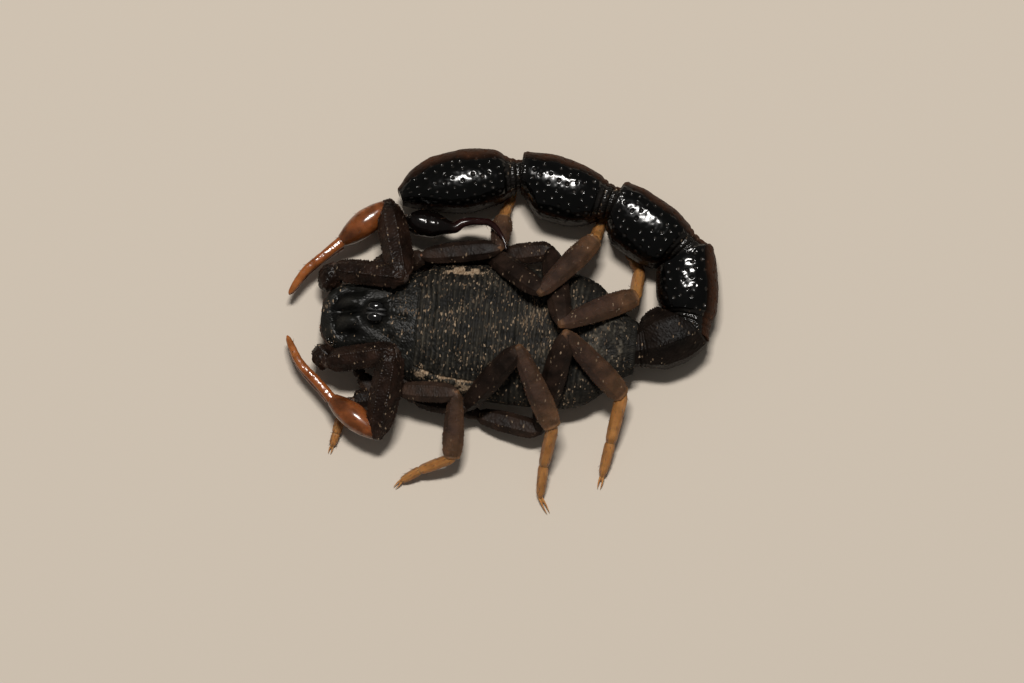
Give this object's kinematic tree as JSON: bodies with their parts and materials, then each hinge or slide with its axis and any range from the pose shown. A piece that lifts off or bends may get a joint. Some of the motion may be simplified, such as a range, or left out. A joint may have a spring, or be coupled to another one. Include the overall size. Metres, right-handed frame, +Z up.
{
  "type": "desert scorpion, life-size still model",
  "caption": "Small black desert scorpion lying flat on its legs, its thick pitted tail curled on its side beside the body.",
  "frame": {"origin": "on the floor under the middle of the animal's box", "axes": "-X towards the head, +X towards the base of the tail, +Y the animal's right, where the tail curls forward, +Z up"},
  "size_m": [0.0172, 0.0143, 0.0041],
  "materials": {
    "shell_matte": "matte, finely granular, dusted with sand",
    "shell_gloss": "polished, pitted",
    "underside_brown": "satin",
    "limb_brown": "satin, granular ridges",
    "limb_grey": "satin, ridged",
    "tarsus_tan": "smooth, translucent",
    "pincer_honey": "smooth, translucent",
    "finger_red": "smooth",
    "eye_black": "polished",
    "comb_tan": "satin",
    "membrane_tan": "soft, matte"
  },
  "bodies": {
    "root": {"carapace": "shell_matte", "chelicera_left": "limb_brown", "chelicera_right": "limb_brown", "coxosternum": "underside_brown", "leg_1_left_femur": "limb_brown", "leg_1_left_patella": "limb_brown", "leg_1_left_shin_foot": "limb_grey", "leg_1_right_femur": "limb_brown", "leg_1_right_patella": "limb_brown", "leg_1_right_shin_foot": "limb_grey", "leg_2_left_femur": "limb_brown", "leg_2_left_patella": "limb_brown", "leg_2_left_shin_foot": "limb_grey", "leg_2_right_femur": "limb_brown", "leg_2_right_patella": "limb_brown", "leg_2_right_shin_foot": "limb_grey", "leg_3_left_femur": "limb_brown", "leg_3_left_patella": "limb_brown", "leg_3_left_shin_foot": "limb_grey", "leg_3_right_femur": "limb_brown", "leg_3_right_patella": "limb_brown", "leg_3_right_shin_foot": "limb_grey", "leg_4_left_femur": "limb_brown", "leg_4_left_patella": "limb_brown", "leg_4_left_shin_foot": "limb_grey", "leg_4_right_femur": "limb_brown", "leg_4_right_patella": "limb_brown", "leg_4_right_shin_foot": "limb_grey", "median_eye_left": "eye_black", "median_eye_right": "eye_black", "metasoma_1": "shell_matte", "metasoma_2": "shell_gloss", "metasoma_3": "shell_gloss", "metasoma_4": "shell_gloss", "metasoma_5": "shell_gloss", "pectine_left": "comb_tan", "pectine_right": "comb_tan", "pedipalp_left_femur": "limb_brown", "pedipalp_left_finger": "finger_red", "pedipalp_left_hand": "pincer_honey", "pedipalp_left_patella": "limb_brown", "pedipalp_left_trochanter": "limb_brown", "pedipalp_right_femur": "limb_brown", "pedipalp_right_finger": "finger_red", "pedipalp_right_hand": "pincer_honey", "pedipalp_right_patella": "limb_brown", "pedipalp_right_trochanter": "limb_brown", "sternite_3": "underside_brown", "sternite_4": "underside_brown", "sternite_5": "underside_brown", "sternite_6": "underside_brown", "telson": "shell_gloss", "tergite_1": "shell_matte", "tergite_2": "shell_matte", "tergite_3": "shell_matte", "tergite_4": "shell_matte", "tergite_5": "shell_matte", "tergite_6": "shell_matte", "tergite_7": "shell_matte"}
  },
  "joints": []
}
